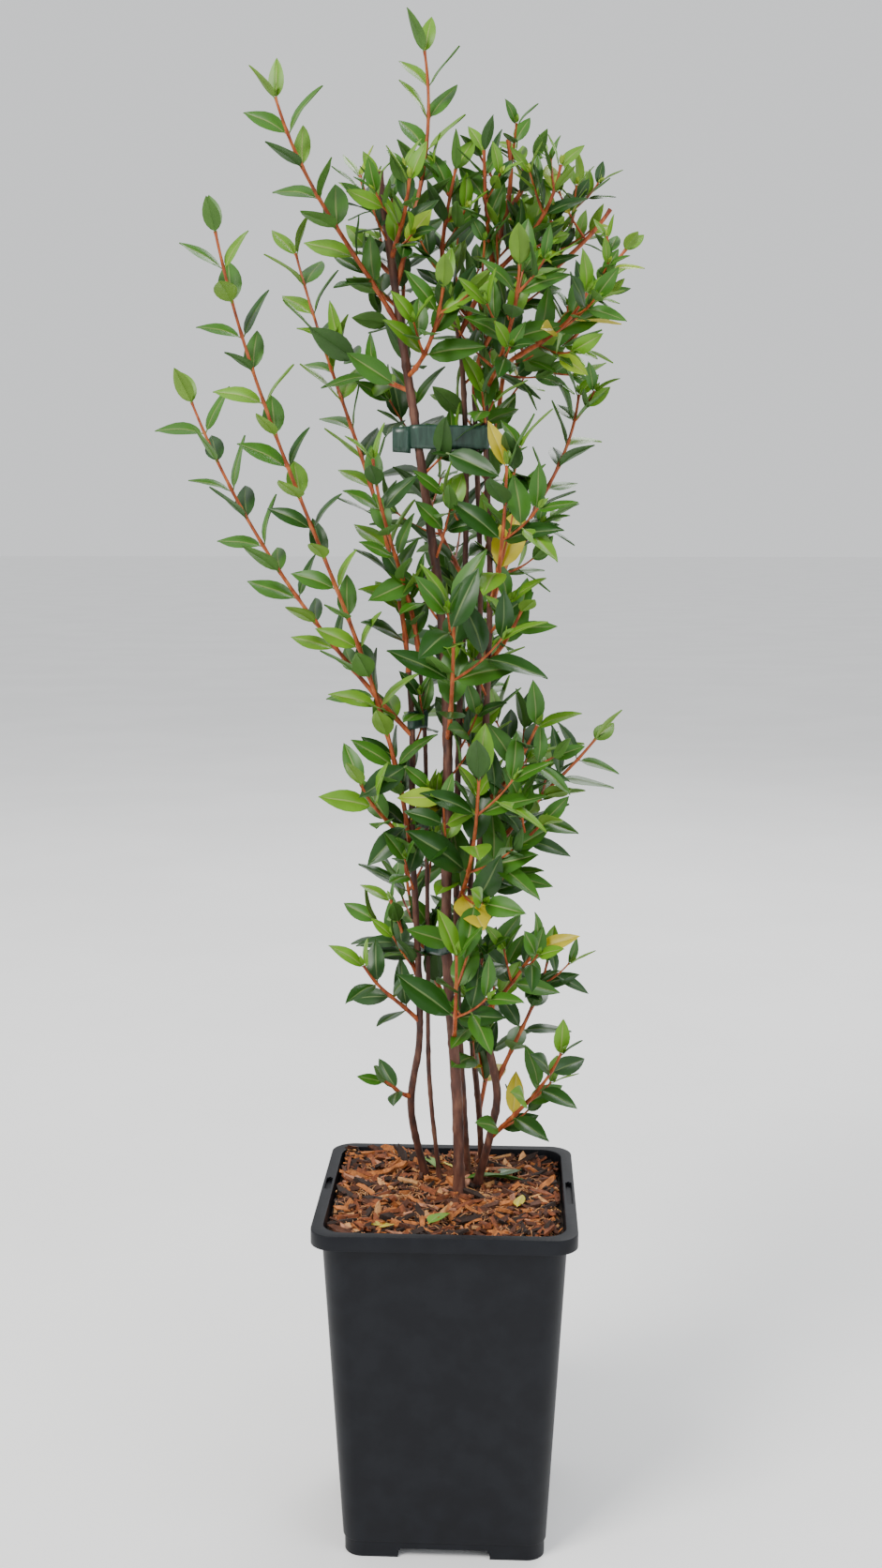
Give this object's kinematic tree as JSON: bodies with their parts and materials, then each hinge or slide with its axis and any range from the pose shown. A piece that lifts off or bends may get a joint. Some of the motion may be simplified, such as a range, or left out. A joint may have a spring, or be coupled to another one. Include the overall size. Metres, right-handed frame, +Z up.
{
  "type": "potted chilean guava",
  "caption": "Evergreen berry shrub with several tied stems and small glossy opposite leaves, standing in a square nursery pot of bark-topped compost.",
  "frame": {"origin": "middle of the whole plant's box, on the ground under the pot", "axes": "+Z up, +X to the right of the picture, +Y away from the viewer, square to the pot's front wall"},
  "size_m": [0.2695, 0.1782, 0.8643],
  "materials": {
    "pot_plastic": "satin black",
    "potting_mix": "rough bark chips",
    "stem_bark": "rough bark",
    "young_bark": "smooth young bark",
    "tie_tape": "satin",
    "leaves": "glossy leaf"
  },
  "bodies": {
    "root": {"pot": "pot_plastic", "potting_mix": "potting_mix", "main_stem": "stem_bark", "left_stem": "stem_bark", "slim_stem": "stem_bark", "middle_stem": "stem_bark", "back_stem": "stem_bark", "right_stem": "stem_bark", "upright_bough": "young_bark", "middle_bough": "young_bark", "low_bough": "young_bark", "back_bough": "young_bark", "lower_tie": "tie_tape", "middle_tie": "tie_tape", "upper_tie": "tie_tape", "left_shoot_1": "leaves", "left_shoot_2": "leaves", "left_shoot_3": "leaves", "left_shoot_4": "leaves", "left_shoot_5": "leaves", "left_shoot_6": "leaves", "left_shoot_7": "leaves", "left_shoot_8": "leaves", "left_shoot_9": "leaves", "left_shoot_10": "leaves", "left_shoot_11": "leaves", "top_shoot_1": "leaves", "top_shoot_2": "leaves", "top_shoot_3": "leaves", "top_shoot_4": "leaves", "top_shoot_5": "leaves", "top_shoot_6": "leaves", "head_shoot_1": "leaves", "head_shoot_2": "leaves", "head_shoot_3": "leaves", "head_shoot_4": "leaves", "head_shoot_5": "leaves", "head_shoot_6": "leaves", "head_shoot_7": "leaves", "head_shoot_8": "leaves", "head_shoot_9": "leaves", "head_shoot_10": "leaves", "head_shoot_11": "leaves", "right_shoot_1": "leaves", "right_shoot_2": "leaves", "right_shoot_3": "leaves", "right_shoot_4": "leaves", "right_shoot_5": "leaves", "right_shoot_6": "leaves", "right_shoot_7": "leaves", "right_shoot_8": "leaves", "column_shoot_1": "leaves", "column_shoot_2": "leaves", "column_shoot_3": "leaves", "column_shoot_4": "leaves", "column_shoot_5": "leaves", "column_shoot_6": "leaves", "column_shoot_7": "leaves", "column_shoot_8": "leaves", "column_shoot_9": "leaves"}
  },
  "joints": []
}
